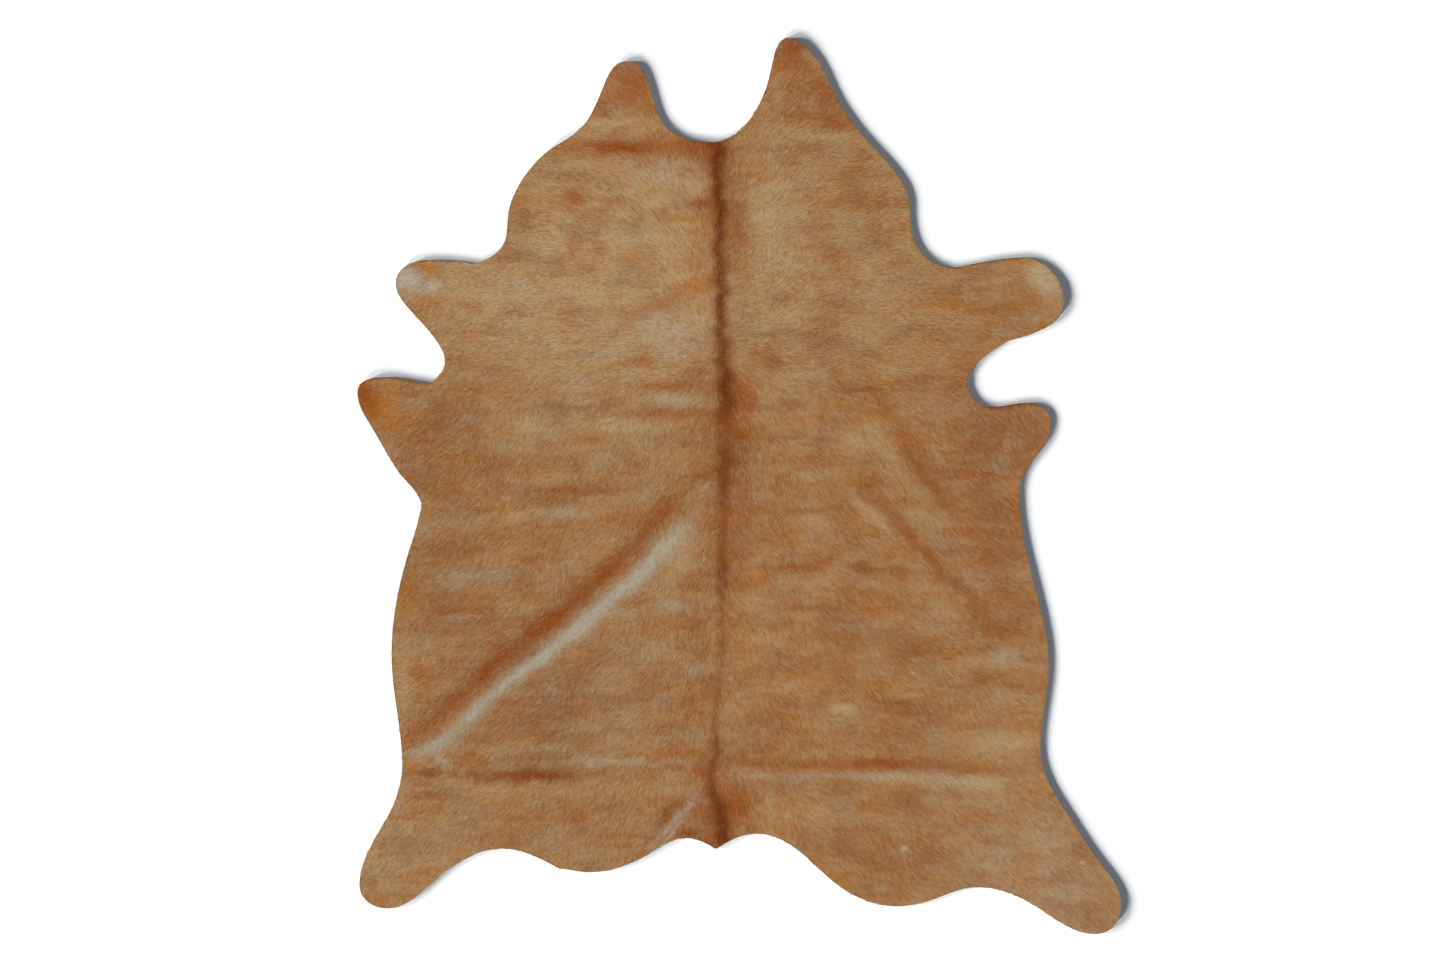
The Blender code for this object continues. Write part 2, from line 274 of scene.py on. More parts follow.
# Broad zones, mottled like the rest of the coat
ZONES = [Patch(*row) for row in (
    ("neck and shoulder", -0.26, 1.55, 0.34, 0.26, "beige", 0.68, 90),
    ("shoulder, far left", -0.54, 1.47, 0.2, 0.14, "beige", 0.5),
    ("shoulder, middle left", -0.39, 1.46, 0.16, 0.12, "beige", 0.3),
    ("cheek", -0.395, 1.69, 0.11, 0.08, "beige", 0.3, 60),
    ("ribs", -0.34, 1.2, 0.22, 0.1, "beige", 0.38),
    ("neck and shoulder", 0.16, 1.58, 0.32, 0.2, "beige", 0.44, 90),
    ("shoulder, far right", 0.4, 1.47, 0.15, 0.15, "beige", 0.32),
    ("belly, far left", -0.64, 0.79, 0.14, 0.11, "mauve", 0.35, 90),
    ("rear, left of the backbone", -0.22, 0.61, 0.17, 0.09, "grey", 0.16, 90),
    ("rump, right of the backbone", 0.085, 0.43, 0.07, 0.07, "rust", 0.22),
    ("loin, right of the backbone", 0.2, 0.56, 0.2, 0.08, "gold", 0.22, 90),
    ("belly and thigh", 0.44, 0.49, 0.16, 0.11, "rust", 0.18),
    ("flank", 0.655, 1.08, 0.3, 0.14, "brown", 0.55, 95),
    ("behind the right elbow", 0.665, 1.16, 0.095, 0.08, "brown", 0.65, 90),
    # Painted shade, widening the dark side of the long crease
    ("along the long crease", -0.43, 0.715, 0.2, 0.045, "brown", 0.45, 41),
    ("flank", -0.64, 1.12, 0.16, 0.13, "brown", 0.35, 90),
    ("rear", -0.4, 0.54, 0.19, 0.17, "mauve", 0.5, 90),
    ("hind leg", -0.77, 0.18, 0.23, 0.15, "beige", 0.42, 60),
    ("thigh, low", -0.62, 0.2, 0.09, 0.07, "grey", 0.2),
    ("buttock, low", -0.28, 0.2, 0.12, 0.06, "grey", 0.12),
    ("hind leg", 0.76, 0.14, 0.26, 0.16, "grey", 0.28, -30),
    ("rump", 0.43, 0.19, 0.16, 0.12, "brown", 0.2),
    ("right of the backbone, withers", 0.056, 1.195, 0.14, 0.034, "umber", 0.75, 90),
    ("right of the backbone, loin", 0.055, 0.9, 0.09, 0.032, "rust", 0.4, 90),
)]
# Smaller patches, where the mottling shows less
PATCHES = [Patch(*row) for row in (
    # ears and neck
    ("ear, tip", -0.205, 2.0, 0.08, 0.06, "rust", 0.65, 90),
    ("ear, outer root", -0.27, 1.945, 0.035, 0.025, "brown", 0.5, 60),
    ("ear, root", -0.245, 1.9, 0.085, 0.014, "beige", 0.6),
    ("neck band, outer", -0.225, 1.842, 0.15, 0.026, "rust", 0.85),
    ("neck band, inner", -0.06, 1.848, 0.06, 0.03, "rust", 0.6),
    ("cheek", -0.33, 1.802, 0.055, 0.015, "beige", 0.5, 10),
    ("beside the mane", -0.11, 1.78, 0.085, 0.03, "silver", 0.32, 5),
    ("beside the mane, edge", -0.048, 1.745, 0.02, 0.02, "beige", 0.45),
    ("under the mane", -0.135, 1.72, 0.05, 0.016, "beige", 0.35),
    ("round spot on the cheek", -0.337, 1.727, 0.036, 0.03, "rust", 0.65),
    ("jaw", -0.462, 1.68, 0.048, 0.026, "brown", 0.55, 80),
    ("spot under the cheek", -0.335, 1.632, 0.027, 0.022, "rust", 0.45),
    ("spot beside it", -0.277, 1.603, 0.022, 0.018, "rust", 0.5),
    ("spots on the neck, outer", -0.375, 1.575, 0.05, 0.016, "brown", 0.4, 15),
    ("spot on the neck, upper", -0.195, 1.645, 0.025, 0.018, "brown", 0.35),
    ("spot on the neck, lower", -0.202, 1.568, 0.043, 0.026, "brown", 0.45),
    ("beside the mane", -0.042, 1.711, 0.03, 0.012, "rust", 0.7),
    ("beside the mane, upper", -0.054, 1.65, 0.022, 0.02, "gold", 0.45),
    ("beside the mane, lower", -0.054, 1.585, 0.022, 0.018, "gold", 0.4),
    ("on the neck, upper", -0.143, 1.632, 0.026, 0.02, "beige", 0.45),
    ("on the neck, lower", -0.117, 1.538, 0.032, 0.02, "beige", 0.5),
    ("golden streak", -0.15, 1.467, 0.13, 0.017, "russet", 0.5, 28),
    ("golden streak, upper end", -0.045, 1.514, 0.055, 0.02, "gold", 0.52, 32),
    ("shoulder", -0.323, 1.509, 0.055, 0.03, "beige", 0.4),
    ("by the withers", -0.115, 1.405, 0.1, 0.05, "silver", 0.38),
    ("ear, very tip", 0.176, 2.08, 0.04, 0.028, "umber", 0.7),
    ("ear", 0.185, 1.99, 0.11, 0.075, "rust", 0.2, 90),
    ("ear, tip", 0.172, 2.04, 0.045, 0.04, "rust", 0.4, 90),
    ("ear, inner side", 0.138, 1.973, 0.04, 0.018, "beige", 0.4, 80),
    ("ear, outer edge", 0.25, 1.968, 0.07, 0.03, "rust", 0.6, -60),
    ("ear, spots", 0.19, 1.918, 0.065, 0.014, "rust", 0.4),
    ("ear, band", 0.268, 1.902, 0.06, 0.017, "rust", 0.6, -10),
    ("under the right ear", 0.25, 1.868, 0.09, 0.016, "beige", 0.55, -5),
    ("neck", 0.134, 1.755, 0.042, 0.03, "beige", 0.45),
    ("neck", 0.118, 1.67, 0.08, 0.05, "beige", 0.7, 90),
    ("neck, beside it", 0.185, 1.673, 0.06, 0.025, "beige", 0.3, 90),
    ("throat", 0.098, 1.521, 0.042, 0.018, "beige", 0.5, 90),
    ("shoulder", 0.157, 1.44, 0.042, 0.028, "beige", 0.5),
    ("right of the withers", 0.056, 1.345, 0.03, 0.016, "beige", 0.5, 90),
    ("beside the mane", 0.05, 1.66, 0.07, 0.022, "rust", 0.5, 90),
    ("beside the mane", 0.056, 1.568, 0.025, 0.018, "gold", 0.45, 90),
    ("cheek", 0.321, 1.727, 0.045, 0.03, "brown", 0.55, 90),
    ("cheek, upper", 0.298, 1.779, 0.032, 0.018, "brown", 0.35),
    ("neck, outer spot", 0.361, 1.645, 0.028, 0.02, "brown", 0.45),
    ("neck, inner spots", 0.268, 1.604, 0.05, 0.018, "brown", 0.45, -25),
    ("throat, spot", 0.427, 1.577, 0.032, 0.022, "rust", 0.4),
    ("throat, spot", 0.438, 1.624, 0.032, 0.02, "beige", 0.45),
    ("shoulder, spot", 0.35, 1.545, 0.04, 0.022, "beige", 0.45, -40),
    ("shoulder, spot", 0.274, 1.479, 0.046, 0.022, "rust", 0.45),
    ("shoulder, inner spot", 0.145, 1.486, 0.026, 0.015, "brown", 0.35),
    # forelegs and elbows
    ("foreleg", -0.616, 1.521, 0.05, 0.042, "beige", 0.45),
    ("foreleg, toe", -0.728, 1.532, 0.036, 0.032, "white", 0.7),
    ("foreleg, streak", -0.67, 1.519, 0.026, 0.011, "white", 0.65),
    ("foreleg, rim", -0.686, 1.562, 0.026, 0.012, "gold", 0.85, -10),
    ("foreleg, root", -0.518, 1.317, 0.032, 0.018, "brown", 0.4),
    ("elbow, tip", -0.82, 1.258, 0.075, 0.032, "russet", 0.85, -60),
    ("elbow", -0.768, 1.225, 0.06, 0.034, "gold", 0.6, -70),
    ("elbow, line", -0.645, 1.242, 0.042, 0.008, "brown", 0.6),
    ("elbow, spot", -0.659, 1.193, 0.024, 0.02, "brown", 0.7),
    ("elbow, root", -0.616, 1.16, 0.075, 0.038, "brown", 0.4, -10),
    ("behind the left elbow", -0.69, 1.085, 0.055, 0.045, "brown", 0.4),
    ("foreleg, toe", 0.765, 1.536, 0.064, 0.036, "beige", 1.0, -42),
    ("foreleg, toe", 0.766, 1.528, 0.045, 0.028, "silver", 0.22, -42),
    ("foreleg, rim", 0.715, 1.58, 0.04, 0.01, "gold", 0.5, -5),
    ("foreleg, root", 0.544, 1.509, 0.032, 0.02, "brown", 0.45),
    ("foreleg, rear", 0.67, 1.464, 0.07, 0.02, "brown", 0.45, 5),
    ("elbow", 0.696, 1.22, 0.055, 0.03, "brown", 0.45),
    # withers and back
    ("shoulder", 0.251, 1.385, 0.058, 0.042, "brown", 0.6),
    ("withers, spot", 0.134, 1.341, 0.028, 0.018, "rust", 0.55),
    ("shoulder, outer", 0.356, 1.355, 0.028, 0.015, "brown", 0.45),
    ("ribs, line", 0.328, 1.274, 0.058, 0.012, "rust", 0.65),
    ("ribs, line", 0.31, 1.277, 0.13, 0.018, "brown", 0.35),
    # Painted light on the pale side of the fold from the shoulder to the right flank, and painted shade in the
    # creases of the right flank
    ("right of the ridge", 0.32, 1.155, 0.06, 0.018, "beige", 0.45, -22),
    ("before the first crease", 0.391, 1.141, 0.085, 0.02, "beige", 0.45, -58),
    ("first crease of the right flank", 0.49, 1.066, 0.135, 0.012, "umber", 0.55, -53),
    ("second crease of the right flank", 0.47, 0.905, 0.16, 0.012, "umber", 0.5, -45),
    ("ribs, upper", 0.286, 1.2, 0.042, 0.018, "brown", 0.4),
    ("ribs, middle", 0.221, 1.106, 0.07, 0.015, "brown", 0.4),
    ("ribs, spot", 0.356, 1.059, 0.046, 0.026, "rust", 0.5),
    ("back, line, inner", 0.098, 1.001, 0.058, 0.014, "rust", 0.55),
    ("back, line, outer", 0.232, 0.992, 0.08, 0.012, "rust", 0.5),
    ("back", 0.227, 0.968, 0.034, 0.014, "beige", 0.5),
    ("behind the right shoulder", 0.355, 0.988, 0.078, 0.017, "beige", 0.55, -42),
    ("flank, upper", 0.614, 1.017, 0.062, 0.03, "brown", 0.4),
    ("flank, lower", 0.665, 0.9, 0.125, 0.06, "brown", 0.45, 95),
    ("left of the withers, line", -0.124, 1.287, 0.095, 0.01, "rust", 0.55),
    ("left of the withers, line", -0.11, 1.252, 0.075, 0.011, "silver", 0.5),
    ("behind the withers, line", -0.12, 1.219, 0.13, 0.014, "russet", 0.6),
    ("behind the withers", -0.382, 1.233, 0.11, 0.014, "brown", 0.55),
    ("behind the withers, inner", -0.171, 1.186, 0.105, 0.018, "beige", 0.6),
    ("behind the withers, outer", -0.441, 1.188, 0.072, 0.016, "beige", 0.5),
    ("ribs, outer spot", -0.394, 1.146, 0.032, 0.018, "brown", 0.4),
    ("ribs, inner spot", -0.206, 1.123, 0.032, 0.018, "brown", 0.4),
    ("back, line", -0.365, 1.038, 0.15, 0.012, "rust", 0.55, 2),
    ("back, line's end", -0.323, 1.036, 0.05, 0.01, "rust", 0.3),
    ("back, inner", -0.345, 0.988, 0.095, 0.016, "silver", 0.34),
    ("back, outer", -0.476, 0.977, 0.055, 0.014, "beige", 0.5),
    ("ribs", -0.581, 0.9, 0.062, 0.014, "rust", 0.5),
    ("ribs", -0.652, 0.9, 0.042, 0.02, "brown", 0.45),
    ("ribs, inner", -0.436, 0.879, 0.034, 0.012, "rust", 0.5),
    ("ribs", -0.558, 0.844, 0.065, 0.016, "silver", 0.34),
    ("ribs, inner", -0.417, 0.841, 0.032, 0.014, "beige", 0.5),
    ("belly", -0.623, 0.759, 0.064, 0.016, "rust", 0.65, 3),
    # loin and rump
    ("loin, upper", -0.077, 0.816, 0.048, 0.014, "rust", 0.55),
    ("loin", -0.098, 0.766, 0.052, 0.014, "grey", 0.55),
    ("loin, lower", -0.066, 0.724, 0.038, 0.014, "rust", 0.55),
    ("under the ridge", -0.092, 0.875, 0.075, 0.04, "beige", 0.6, 60),
    ("rear, upper", -0.277, 0.661, 0.052, 0.036, "brown", 0.45),
    ("rear, lower", -0.375, 0.53, 0.085, 0.045, "brown", 0.4),
    ("rear, outer", -0.253, 0.455, 0.038, 0.018, "beige", 0.45),
    ("rear, inner", -0.202, 0.506, 0.032, 0.02, "beige", 0.45),
    ("loin, spot", -0.066, 0.537, 0.032, 0.02, "rust", 0.45),
    ("rear, inner spot", -0.171, 0.584, 0.03, 0.03, "brown", 0.4),
    ("thigh, spot", -0.581, 0.455, 0.038, 0.018, "brown", 0.5),
    ("edge", -0.735, 0.584, 0.09, 0.022, "beige", 0.55, 90),
    ("ridge's foot", -0.663, 0.445, 0.048, 0.014, "grey", 0.6),
    ("ridge's foot, fork", -0.655, 0.41, 0.035, 0.012, "grey", 0.5, -70),
    ("thigh, upper", -0.682, 0.373, 0.04, 0.014, "umber", 0.7),
    ("thigh, lower", -0.673, 0.323, 0.055, 0.013, "umber", 0.5),
    # Painted shade (umber, rust) and painted light (grey, beige) on the two sides of the rump fold, left of
    # the backbone
    ("rump line", -0.225, 0.402, 0.16, 0.009, "grey", 0.6),
    ("rump line", -0.415, 0.371, 0.11, 0.015, "umber", 0.95),
    ("rump line, far left", -0.54, 0.369, 0.08, 0.012, "umber", 0.5),
    ("rump line, inner", -0.26, 0.37, 0.065, 0.01, "rust", 0.2),
    ("rump line, by the tail", -0.042, 0.384, 0.034, 0.02, "rust", 0.6),
    ("under the rump line", -0.52, 0.338, 0.1, 0.014, "beige", 0.55),
    ("under the rump line, inner", -0.25, 0.345, 0.12, 0.03, "beige", 0.35),
    # Painted shade beside the fold by the tail, and its painted light in the white streak
    ("left of the tail", -0.12, 0.278, 0.07, 0.014, "umber", 0.65, 52),
    ("left of the tail, foot", -0.07, 0.236, 0.034, 0.016, "umber", 0.8),
    ("left of the tail, streak", -0.09, 0.278, 0.085, 0.007, "white", 0.8, 53),
    ("right of the tail", 0.054, 0.312, 0.042, 0.034, "rust", 0.6, 90),
    ("right of the tail", 0.124, 0.302, 0.048, 0.01, "beige", 0.5, 90),
    ("loin, line, inner", 0.19, 0.858, 0.062, 0.014, "rust", 0.55),
    ("loin, line, middle", 0.335, 0.858, 0.05, 0.016, "umber", 0.6),
    ("loin, line, outer", 0.43, 0.846, 0.06, 0.014, "rust", 0.5, -8),
    ("loin, line", 0.22, 0.818, 0.06, 0.014, "beige", 0.5),
    ("loin, low line", 0.227, 0.764, 0.11, 0.013, "rust", 0.45),
    ("crease's foot", 0.572, 0.808, 0.055, 0.018, "brown", 0.65, -42),
    ("crease's foot", 0.614, 0.752, 0.036, 0.03, "brown", 0.65),
    ("crease's foot, outer", 0.662, 0.711, 0.06, 0.014, "umber", 0.55, -8),
    ("belly, inner", 0.532, 0.752, 0.048, 0.02, "beige", 0.35),
    ("belly", 0.455, 0.684, 0.075, 0.045, "brown", 0.55),
    ("belly", 0.462, 0.658, 0.038, 0.014, "rust", 0.5),
    ("loin, upper", 0.305, 0.687, 0.052, 0.03, "brown", 0.45),
    ("loin, lower", 0.286, 0.607, 0.042, 0.034, "brown", 0.5),
    ("loin, spot", 0.258, 0.56, 0.042, 0.016, "rust", 0.45),
    ("loin, spot", 0.291, 0.527, 0.038, 0.022, "beige", 0.78),
    ("loin, streak", 0.445, 0.526, 0.085, 0.02, "umber", 0.55, -17),
    ("thigh, spot", 0.621, 0.602, 0.038, 0.024, "umber", 0.5),
    ("thigh, upper", 0.668, 0.648, 0.036, 0.024, "grey", 0.3),
    ("thigh, middle", 0.668, 0.56, 0.042, 0.02, "grey", 0.32),
    ("thigh, lower", 0.655, 0.45, 0.11, 0.036, "beige", 0.6),
    ("loin, spots, low", 0.103, 0.502, 0.042, 0.02, "brown", 0.4),
    ("rump, spot", 0.209, 0.442, 0.032, 0.016, "brown", 0.4),
    # Painted shade (rust) and painted light (beige) on the two sides of the rump fold, right of the backbone
    ("rump line", 0.403, 0.402, 0.095, 0.012, "rust", 0.65),
    ("rump line, inner right", 0.091, 0.401, 0.045, 0.014, "rust", 0.6),
    ("rump line", 0.391, 0.361, 0.07, 0.011, "beige", 0.55),
    ("rump line, outer right", 0.62, 0.35, 0.085, 0.024, "beige", 0.65, -5),
    ("rump", 0.234, 0.272, 0.055, 0.042, "beige", 0.35, 90),
    ("rump", 0.45, 0.314, 0.055, 0.04, "brown", 0.45, 90),
    ("rump, low edge", 0.345, 0.175, 0.11, 0.06, "umber", 0.22),
    ("rump, low spot", 0.298, 0.209, 0.038, 0.026, "brown", 0.45),
    ("heel", 0.865, 0.063, 0.034, 0.022, "brown", 0.45),
    ("fleck on the rump", 0.438, 0.197, 0.008, 0.005, "white", 0.9),
    ("fleck on the heel", 0.856, 0.166, 0.008, 0.006, "white", 0.7),
    ("fleck on the belly", 0.455, 0.614, 0.006, 0.005, "white", 0.7),
)]

# The studio
FRAME_WIDTH = 3.3867  # how much of the floor the photograph takes in, from side to side
CAMERA_OVER = (-0.0395, 0.0105)
CAMERA_HEIGHT = 12.0
SENSOR = 36.0
FLOOR_SIZE = 60.0
FLOOR_GAP = 0.0002
FLOOR_WHITE = (0.9, 0.9, 0.9, 1.0)
AMBIENT = (0.80, 0.88, 1.0)
AMBIENT_STRENGTH = 0.18
LAMP_AWAY = 3.0
FARTHEST_SEEN = 200.0

# The three that light the floor are low and spread, so that the hide's shadow on it is soft
Light = namedtuple("Light", "place on azimuth elevation strength softness colour")
LIGHTS = [Light(*row) for row in (
    ("key", "hide", -50, 48, 1.80, 45, (1.0, 0.98, 0.94)),
    ("top", "hide", 90, 80, 1.15, 90, (1.0, 0.99, 0.97)),
    ("shadow_level", "floor", 183, 5.3, 11.5, 6.2, (1.0, 1.0, 1.0)),
    ("shadow_middle", "floor", 205, 5.3, 12.5, 6.2, (1.0, 1.0, 1.0)),
    ("shadow_steep", "floor", 228, 5.3, 11.5, 6.2, (1.0, 1.0, 1.0)),
)]


def waves(x, y, name, count=9):
    """An even random swell over the hide, about -1 to 1 most of the time, as its row of SWELLS says."""
    along, across, seed = SWELLS[name]
    draw = np.random.default_rng(seed)
    total = np.zeros_like(x)
    for _ in range(count):
        heading = draw.uniform(0.0, math.tau)
        phase = draw.uniform(0.0, math.tau)
        stretch = draw.uniform(*WAVE_STRETCH)
        turns = (x * math.cos(heading) / along + y * math.sin(heading) / across) / stretch
        total += np.sin(math.tau * turns + phase)
    return total * math.sqrt(2.0 / count)


def swell(share):
    """A soft bump: 1 where share is 0, and 0 from share 1 on."""
    return 0.5 + 0.5 * np.cos(math.pi * np.minimum(np.abs(share), 1.0))


def bell(share):
    """A soft bump with long skirts: 1 where share is 0, and about a third where it is 1."""
    return np.exp(-(share**2))


def from_line(x, y, line):
    """The distance of each place from a line, positive on the left of it, and how far along it the nearest
    point is, 0 to 1."""
    points = np.array(line)
    spans = np.linalg.norm(np.diff(points, axis=0), axis=1)
    distance = np.full_like(x, np.inf)
    share = np.zeros_like(x)
    passed = 0.0
    for start, end, span in zip(points, points[1:], spans):
        way = (end - start) / span
        along = np.clip((x - start[0]) * way[0] + (y - start[1]) * way[1], 0.0, span)
        gap_x, gap_y = x - start[0] - along * way[0], y - start[1] - along * way[1]
        side = np.where(way[0] * gap_y - way[1] * gap_x < 0, -1.0, 1.0)
        here = side * np.hypot(gap_x, gap_y)
        nearer = np.abs(here) < np.abs(distance)
        distance = np.where(nearer, here, distance)
        share = np.where(nearer, (passed + along) / spans.sum(), share)
        passed += span
    return distance, share


def taper(share):
    """How high a fold is along its line, in parts of its height."""
    return np.sqrt(np.sin(math.pi * np.clip(share, FOLD_END, 1.0 - FOLD_END)))


def lie(x, y, depth):
    """How far the underside of the leather is off the floor. It lies flat round its edge."""
    calm = 1.0 - swell(np.clip(depth.at(x, y), 0.0, FLAT_RIM) / FLAT_RIM)
    height = RIPPLE * calm * np.maximum(waves(x, y, "ripple") + RIPPLE_LIFT, 0.0)
    for fold in FOLDS:
        distance, share = from_line(x, y, fold.line)
        height = np.maximum(height, fold.height * taper(share) * swell(distance / fold.reach))
    for lift in LIFTS:
        height = np.maximum(height, lift.height * swell(np.hypot(x - lift.x, y - lift.y) / lift.reach))
    return height


def cut_edge(node):
    """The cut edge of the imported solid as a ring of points, clockwise: where its underside meets its rim."""
    solid = bmesh.new()
    solid.from_mesh(node.data)
    bmesh.ops.remove_doubles(solid, verts=solid.verts, dist=MERGE)
    solid.normal_update()
    following = {}
    for edge in solid.edges:
        for loop in edge.link_loops:
            upright = abs(loop.face.normal.z) < STEEP
            if upright and loop.link_loop_radial_next.face.normal.z < -STEEP:
                following[loop.vert] = loop.link_loop_next.vert
    ring = [next(iter(following))]
    while following[ring[-1]] != ring[0]:
        ring.append(following[ring[-1]])
    points = np.array([corner.co.xy for corner in ring]) - DATUM
    solid.free()
    area = np.sum(points[:, 0] * np.roll(points[:, 1], -1) - points[:, 1] * np.roll(points[:, 0], -1))
    return points[::-1] if area > 0 else points


def rounded(ring, steps):
    """A closed ring of points with its corners eased and each of its sides cut into steps."""
    before, start, end, after = (np.roll(ring, turn, axis=0) for turn in (1, 0, -1, -2))
    rows = []
    for step in range(steps):
        part = step / steps
        way = (end - before) * part + (2 * before - 5 * start + 4 * end - after) * part**2
        rows.append(start + 0.5 * (way + (3 * start - before - 3 * end + after) * part**3))
    return np.stack(rows, axis=1).reshape(-1, 2)


def is_inside(x, y, ring):
    """Whether each place lies inside the ring: a ray from it crosses the ring an odd number of times."""
    inside = np.zeros(len(x), bool)
    for (start_x, start_y), (end_x, end_y) in zip(ring, np.roll(ring, -1, axis=0)):
        if start_y != end_y:
            between = (start_y > y) != (end_y > y)
            inside ^= between & (start_x + (y - start_y) / (end_y - start_y) * (end_x - start_x) > x)
    return inside


class Depth:
    """How deep a place lies inside the cut edge, negative outside it, read from a grid."""

    def __init__(self, ring):
        self.low = ring.min(axis=0) - DEPTH_MARGIN
        columns, rows = np.ceil((ring.max(axis=0) + DEPTH_MARGIN - self.low) / DEPTH_STEP).astype(int) + 1
        column, row = np.meshgrid(np.arange(columns), np.arange(rows))
        x, y = self.low[0] + DEPTH_STEP * column, self.low[1] + DEPTH_STEP * row
        tree = KDTree(len(ring))
        for index, point in enumerate(ring):
            tree.insert((*point, 0.0), index)
        tree.balance()
        away = np.array([tree.find((*place, 0.0))[2] for place in zip(x.ravel(), y.ravel())])
        self.grid = np.where(is_inside(x.ravel(), y.ravel(), ring), away, -away).reshape(rows, columns)

    def at(self, x, y):
        rows, columns = self.grid.shape
        across = np.clip((x - self.low[0]) / DEPTH_STEP, 0.0, columns - LAST_CELL)
        up = np.clip((y - self.low[1]) / DEPTH_STEP, 0.0, rows - LAST_CELL)
        column, row = across.astype(int), up.astype(int)
        across, up = across - column, up - row
        lower = self.grid[row, column] * (1 - across) + self.grid[row, column + 1] * across
        upper = self.grid[row + 1, column] * (1 - across) + self.grid[row + 1, column + 1] * across
        return lower * (1 - up) + upper * up


def linear(colour):
    """A colour that was named as it looks, 0 to 255, as amounts of light."""
    share = np.array(colour) / 255
    return np.where(share <= 0.04045, share / 12.92, ((share + 0.055) / 1.055) ** 2.4)


def tinted(coat, colour, amount):
    """The coat's colours with some of another colour over them, and less plain for it."""
    return coat + ((*linear(COLOURS[colour]), 0.0) - coat) * np.clip(amount, 0.0, 1.0)[:, None]


def patched(coat, patches, x, y):
    """The coat's colours with these patches over them, soft at their edges."""
    for patch in patches:
        heading = math.radians(patch.heading)
        gap_x, gap_y = x - patch.x, y - patch.y
        along = (gap_x * math.cos(heading) + gap_y * math.sin(heading)) / patch.along
        across = (gap_y * math.cos(heading) - gap_x * math.sin(heading)) / patch.across
        fading = np.exp(-PATCH_FADE * (along**2 + across**2) ** PATCH_EDGE)
        coat = tinted(coat, patch.colour, BOLD * patch.strength * fading)
    return coat


def coat_colours(x, y):
    """The coat's colour at each place, from its patches, the painted shade and the painted light on the two
    sides of each fold and the stripe down the backbone. Its fourth number is how plain the coat is, 1 where
    none of them shows."""
    ragged_x = x + RAGGED * waves(x, y, "ragged x")
    ragged_y = y + RAGGED * waves(x, y, "ragged y")
    coat = np.tile((*linear(COLOURS["tan"]), 1.0), (len(x), 1))
    coat = patched(coat, ZONES, ragged_x, ragged_y)
    coat[:, 3] = 1.0
    coat = patched(coat, PATCHES, ragged_x, ragged_y)
    for fold in FOLDS:
        distance, share = from_line(x + (ragged_x - x) / 2, y + (ragged_y - y) / 2, fold.line)
        place = distance / fold.reach
        # Painted shade darkens the right side of each fold and painted light pales its left side, unevenly
        # along it
        shading_strength = np.sqrt(taper(share)) * (1 + SHADING_WOBBLE * waves(x, y, "shading_waves"))
        shade = bell((place + SHADE_AT - SHADE_NEARER * share) / SHADE_WIDTH)
        coat = tinted(coat, "rust", fold.shade * shading_strength * shade)
        length = np.sum(np.hypot(*np.diff(fold.line, axis=0).T))
        set_in = np.clip(share * length / LIGHT_SETS_IN, 0.0, 1.0) * (1.0 - LIGHT_WANES * share)
        light = bell((place - LIGHT_AT) / (LIGHT_WIDTH - LIGHT_NARROWS * share))
        coat = tinted(coat, "grey", fold.light * shading_strength * set_in * light)
    stations = np.array([stripe.y for stripe in STRIPES])
    middle, core, left, right, core_depth, skirt_depth = (
        np.interp(ragged_y, stations, [stripe[column] for stripe in STRIPES]) for column in range(1, 7)
    )
    off = ragged_x - middle
    ends = np.clip(np.minimum(y - STRIPE_LOW, STRIPE_HIGH - y) / STRIPE_FADE, 0.0, 1.0)
    coat = tinted(coat, "rust", skirt_depth * ends * bell(off / np.where(off < 0, left, right)))
    return tinted(coat, "dark", core_depth * ends * bell(off / core))


def stream(x, y):
    """Which way the hair lies at each place, as a heading in radians on the right side of the backbone."""
    rows = np.array([row.y for row in STREAMS])
    headings = np.radians([row.headings for row in STREAMS])
    beside = [np.interp(y, rows, headings[:, column]) for column in range(len(STREAM_AT))]
    out = np.abs(x)
    heading = beside[0]
    for inner, outer, before, after in zip(STREAM_AT, STREAM_AT[1:], beside, beside[1:]):
        part = np.clip((out - inner) / (outer - inner), 0.0, 1.0)
        heading = np.where(out > inner, before + (after - before) * part, heading)
    return heading


def object_from(name, points, faces, materials, smooth=True):
    """A mesh object of triangles, given its points in the frame."""
    mesh = bpy.data.meshes.new(name)
    mesh.vertices.add(len(points))
    mesh.vertices.foreach_set("co", points.astype(np.float32).ravel())
    mesh.loops.add(faces.size)
    mesh.loops.foreach_set("vertex_index", faces.astype(np.int32).ravel())
    mesh.polygons.add(len(faces))
    mesh.polygons.foreach_set("loop_start", np.arange(0, faces.size, 3, dtype=np.int32))
    mesh.polygons.foreach_set("use_smooth", np.full(len(faces), smooth))
    mesh.update(calc_edges=True)
    for material in materials:
        mesh.materials.append(material)
    piece = bpy.data.objects.new(name, mesh)
    bpy.context.scene.collection.objects.link(piece)
    return piece


def note(piece, name, kind, values):
    """Keeps a value for each point of a mesh, for its material."""
    field = {"FLOAT": "value", "FLOAT_VECTOR": "vector", "FLOAT_COLOR": "color"}[kind]
    attribute = piece.data.attributes.new(name, kind, "POINT")
    attribute.data.foreach_set(field, values.astype(np.float32).ravel())


def note_coat(piece, x, y):
    """Keeps the place that each point takes its colour from, and the coat's colour there."""
    note(piece, "coat", "FLOAT_COLOR", coat_colours(x, y))
    note(piece, "place", "FLOAT_VECTOR", np.column_stack((x, y, np.zeros(len(x)))))


def unwrap(piece, places):
    """Lays the picture of a piece out at the given places, one for each corner of each face."""
    layer = piece.data.uv_layers.new(name="OFBake")
    layer.data.foreach_set("uv", places.astype(np.float32).ravel())


